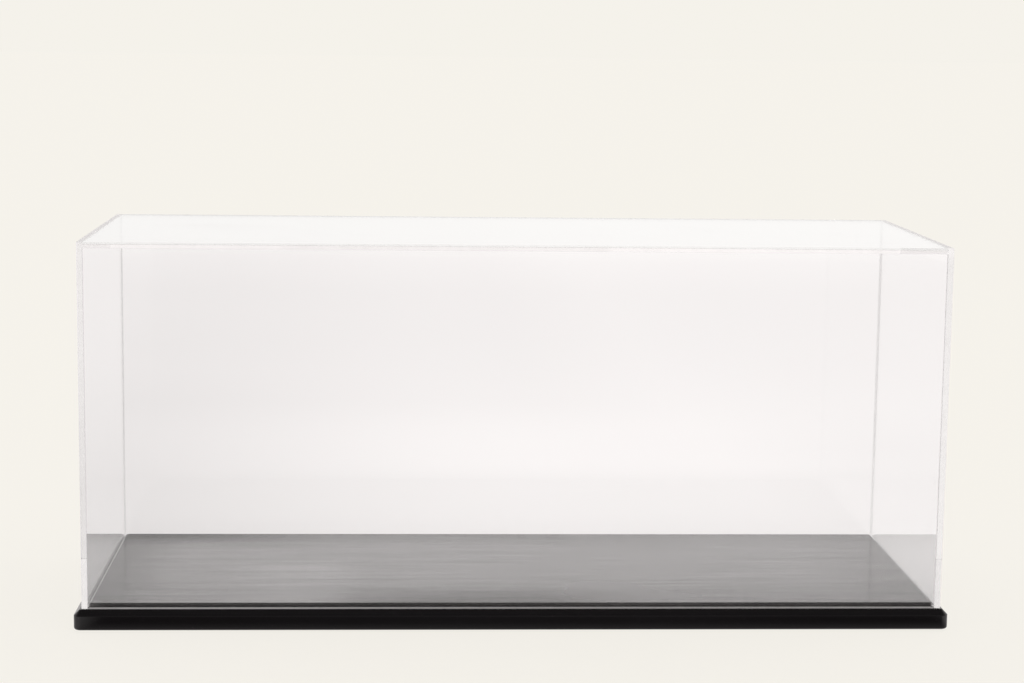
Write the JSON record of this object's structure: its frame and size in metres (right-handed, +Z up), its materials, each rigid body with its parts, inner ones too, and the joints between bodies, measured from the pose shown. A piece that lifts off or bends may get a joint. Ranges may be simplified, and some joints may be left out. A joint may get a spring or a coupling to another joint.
{
  "type": "acrylic display case",
  "caption": "Clear acrylic dust cover that lifts straight up off a black base board with a raised display deck.",
  "frame": {"origin": "on the surface it stands on, under the middle of the base, level with the bottom of the foot pads", "axes": "+X along the length to the right as seen from the front, +Y from the front to the back, +Z up"},
  "size_m": [0.458, 0.174, 0.2025],
  "materials": {
    "black_board": "satin",
    "black_deck": "satin",
    "foot_pad": "matte",
    "clear_acrylic": "polished"
  },
  "bodies": {
    "base": {"base_board": "black_board", "display_deck": "black_deck", "foot_front_left": "foot_pad", "foot_front_right": "foot_pad", "foot_back_left": "foot_pad", "foot_back_right": "foot_pad"},
    "cover": {"cover_front": "clear_acrylic", "cover_back": "clear_acrylic", "cover_left": "clear_acrylic", "cover_right": "clear_acrylic", "cover_top": "clear_acrylic"}
  },
  "joints": [
    {"name": "cover_lift", "type": "slide", "parent": "base", "child": "cover", "axis": [0, 0, 1], "range_m": [0, 0.22]}
  ]
}
